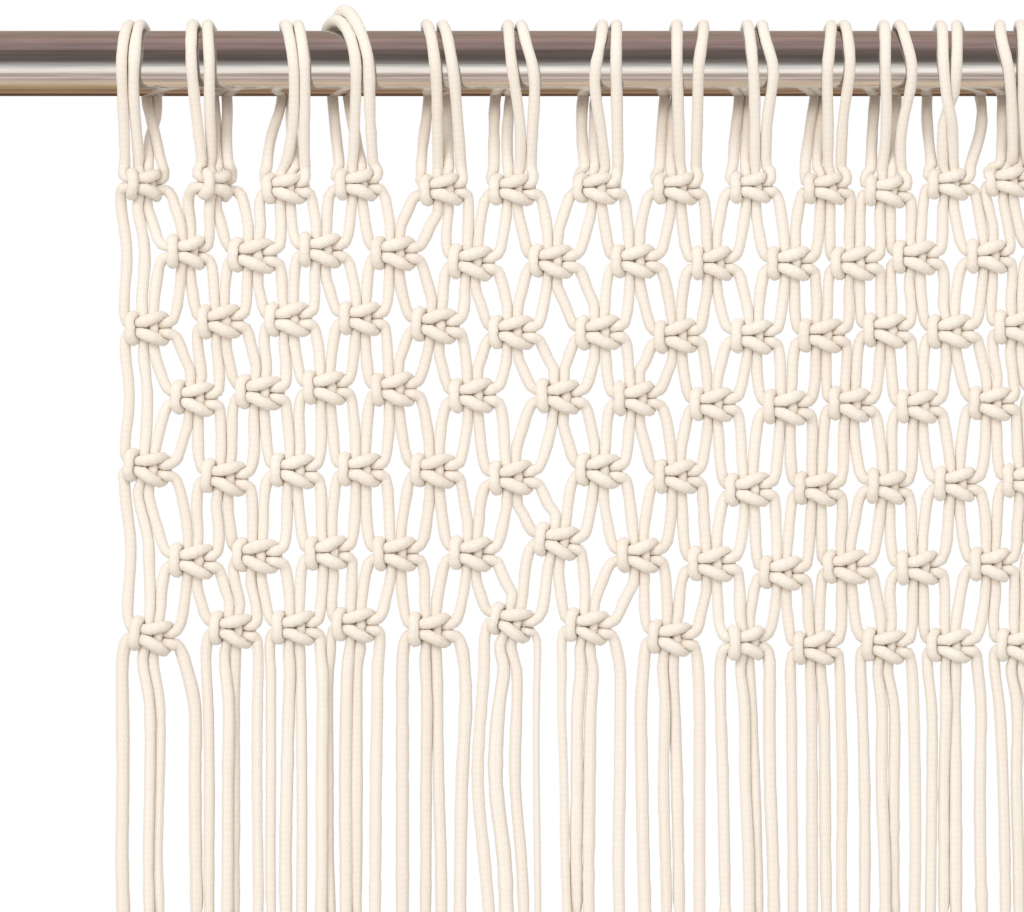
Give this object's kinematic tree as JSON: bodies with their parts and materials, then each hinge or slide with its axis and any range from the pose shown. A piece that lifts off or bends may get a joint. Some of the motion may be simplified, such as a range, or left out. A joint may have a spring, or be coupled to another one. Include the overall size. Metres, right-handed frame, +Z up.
{
  "type": "macrame curtain with its rod",
  "caption": "Knotted cotton cord curtain hanging from a round metal rod: looped heading, net of square knots and a long straight fringe.",
  "frame": {"origin": "on the rod's axis, half way along the rod", "axes": "+X along the rod to the right as seen from the room, +Z up, and the room side with the knots' faces at -Y"},
  "size_m": [0.9, 0.0346, 1.8244],
  "materials": {
    "brushed_metal": "brushed along its length, with soft warm reflections",
    "cotton_cord": "smooth natural cotton cord, cream, with a fine slanting twist"
  },
  "bodies": {
    "root": {"rod": "brushed_metal", "net": "cotton_cord", "fringe": "cotton_cord"}
  },
  "joints": []
}
